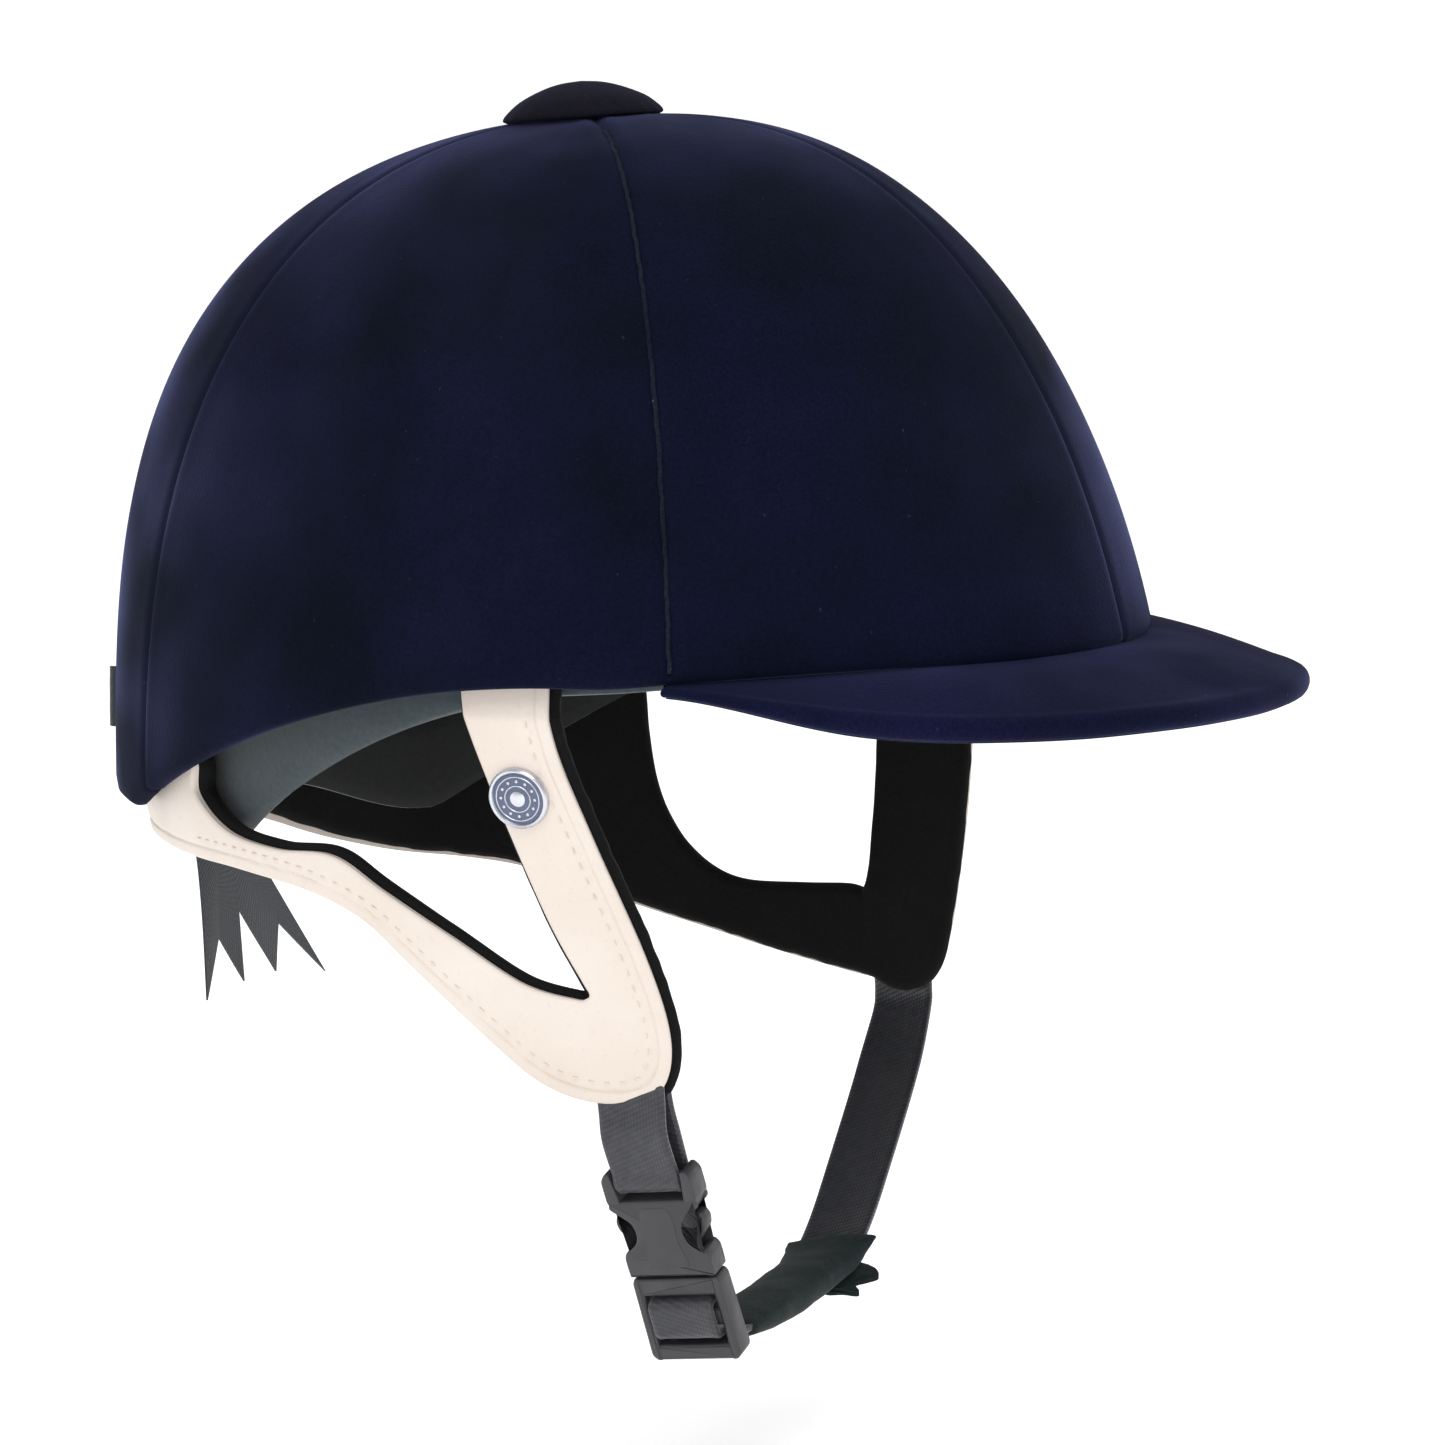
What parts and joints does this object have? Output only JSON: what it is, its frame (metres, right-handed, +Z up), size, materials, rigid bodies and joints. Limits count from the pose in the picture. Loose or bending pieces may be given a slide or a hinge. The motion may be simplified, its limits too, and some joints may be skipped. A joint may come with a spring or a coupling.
{
  "type": "equestrian riding helmet",
  "caption": "Velvet-covered riding helmet with a stiff peak, top button, leather ear harness, ribbon bow and a chin strap with a side-release buckle.",
  "frame": {"origin": "centre of the head opening, level with the crown's edge above the ears", "axes": "+X forward over the peak, +Y to the wearer's left, +Z up through the crown"},
  "size_m": [0.2917, 0.1898, 0.2759],
  "materials": {
    "velvet": "navy cotton velvet with a bluish sheen at grazing angles",
    "hard_shell": "moulded shell, hidden under the velvet",
    "foam": "expanded polystyrene foam, charcoal",
    "rim_cloth": "slate grey knitted lining cloth",
    "lining_cloth": "black satin lining over a thin pad",
    "button_cloth": "near-black navy velvet",
    "steel": "zinc-plated steel",
    "ribbon": "slate grosgrain ribbon",
    "harness_leather": "smooth ivory leather with a pressed edge line",
    "harness_lining": "black brushed leather lining",
    "badge_metal": "polished metal rim",
    "badge_enamel": "slate blue enamel with a plain ring of dots",
    "webbing": "charcoal satin webbing",
    "guard_suede": "dark green-black brushed suede",
    "buckle_plastic": "charcoal satin moulded acetal"
  },
  "bodies": {
    "helmet": {"crown_panel_front_right": "velvet", "crown_panel_front_left": "velvet", "crown_panel_side_right": "velvet", "crown_panel_side_left": "velvet", "crown_panel_rear": "velvet", "outer_shell": "hard_shell", "foam_liner": "foam", "rim_lining": "rim_cloth", "headband": "lining_cloth", "crown_pad": "lining_cloth", "peak_core": "hard_shell", "peak_top_cover": "velvet", "peak_under_cover": "velvet", "crown_button": "button_cloth", "button_stud": "steel", "button_nut": "steel", "bow_loops": "ribbon", "bow_knot": "ribbon", "harness_right_leather": "harness_leather", "harness_left_leather": "harness_leather", "harness_right_lining": "harness_lining", "harness_left_lining": "harness_lining", "harness_rivets": "steel", "badge_base": "badge_metal", "badge_inlay": "badge_enamel", "web_root_right": "webbing", "web_root_left": "webbing"},
    "ribbon": {"ribbon_tails": "ribbon"},
    "chin_strap": {"webbing_right": "webbing", "webbing_left": "webbing", "chin_guard": "guard_suede", "buckle_female": "buckle_plastic"},
    "buckle_male": {"buckle_male": "buckle_plastic", "webbing_buckle": "webbing"},
    "prong_front": {"prong_front": "buckle_plastic"},
    "prong_rear": {"prong_rear": "buckle_plastic"}
  },
  "joints": [
    {"name": "ribbon_swing", "type": "hinge", "parent": "helmet", "child": "ribbon", "pos_m": [-0.1302, 0, -0.0176], "axis": [0, 1, 0], "range_deg": [0, 40]},
    {"name": "chin_strap_swing", "type": "hinge", "parent": "helmet", "child": "chin_strap", "pos_m": [0.0365, 0, -0.084], "axis": [0, 1, 0], "range_deg": [-20, 16]},
    {"name": "buckle_release", "type": "slide", "parent": "chin_strap", "child": "buckle_male", "axis": [0.1331, 0.2924, -0.947], "range_m": [0, 0.024], "deforming": ["prong_front", "prong_rear"]},
    {"name": "prong_front_press", "type": "hinge", "parent": "buckle_male", "child": "prong_front", "pos_m": [0.04682, -0.05772, -0.12225], "axis": [0.0407, -0.9563, -0.2895], "range_deg": [0, 13], "stiffness_Nm_per_rad": 0.03},
    {"name": "prong_rear_press", "type": "hinge", "parent": "buckle_male", "child": "prong_rear", "pos_m": [0.03712, -0.05772, -0.12361], "axis": [-0.0407, 0.9563, 0.2895], "range_deg": [0, 13], "stiffness_Nm_per_rad": 0.03}
  ],
  "couplings": [
    {"joint": "prong_rear_press", "follows": "prong_front_press", "ratio": 1}
  ]
}
